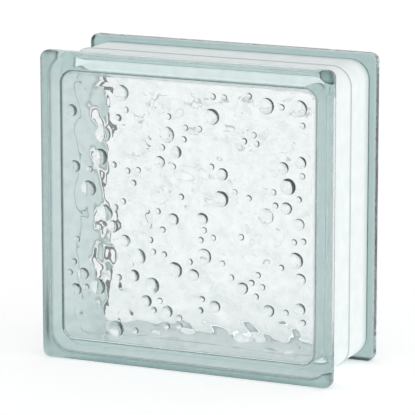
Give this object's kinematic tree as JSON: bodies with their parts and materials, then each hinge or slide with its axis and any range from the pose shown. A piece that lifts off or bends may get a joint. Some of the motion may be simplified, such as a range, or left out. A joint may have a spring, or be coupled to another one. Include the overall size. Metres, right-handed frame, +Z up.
{
  "type": "glass block",
  "caption": "Square hollow clear glass building block with a bubble relief inside both faces and a recessed mortar channel round its edge, stands upright in a wall or partition",
  "frame": {"origin": "middle of the block's footprint on the floor, under the lips that it stands on", "axes": "X runs across the width of the faces, Y from the front face to the back face, Z up"},
  "size_m": [0.19, 0.08, 0.19],
  "materials": {
    "clear_glass": "clear pressed glass, polished by the fire, with a green tint in thick sections and a thin white coat on the mortar channel"
  },
  "bodies": {
    "root": {"glass_block": "clear_glass"}
  },
  "joints": []
}
